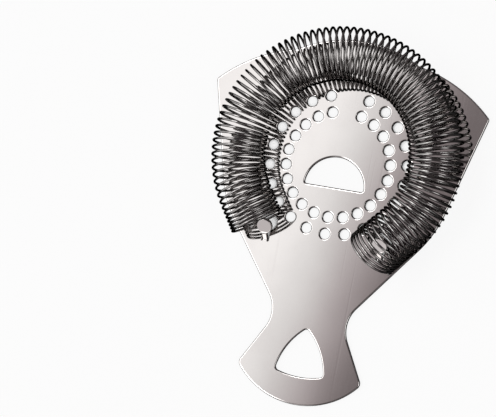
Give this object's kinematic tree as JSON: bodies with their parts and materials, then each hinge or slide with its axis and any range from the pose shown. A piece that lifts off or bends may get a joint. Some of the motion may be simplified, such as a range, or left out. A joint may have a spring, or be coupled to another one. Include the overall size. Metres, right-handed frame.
{
  "type": "hawthorne strainer",
  "caption": "Bar strainer: a flat perforated steel plate with two ears and a short flared handle, and a soft coil spring round its front that seals against a shaker's mouth.",
  "frame": {"origin": "on the plate's back face, under the middle of the whole length and width", "axes": "+Z from the back face towards the side that carries the spring, +Y along the long axis away from the handle, +X to the right"},
  "size_m": [0.1046, 0.1394, 0.0222],
  "materials": {
    "polished_sheet": "polished stainless steel sheet with fine polishing lines",
    "spring_wire": "bright drawn stainless steel wire"
  },
  "bodies": {
    "plate": {"strainer_plate": "polished_sheet"},
    "spring": {"coil_spring": "spring_wire"}
  },
  "joints": [
    {"name": "coil_squeeze", "type": "slide", "parent": "plate", "child": "spring", "axis": [0, -1, 0], "range_m": [0, 0.006], "stiffness_N_per_m": 600, "deforming": ["coil_spring"]}
  ]
}
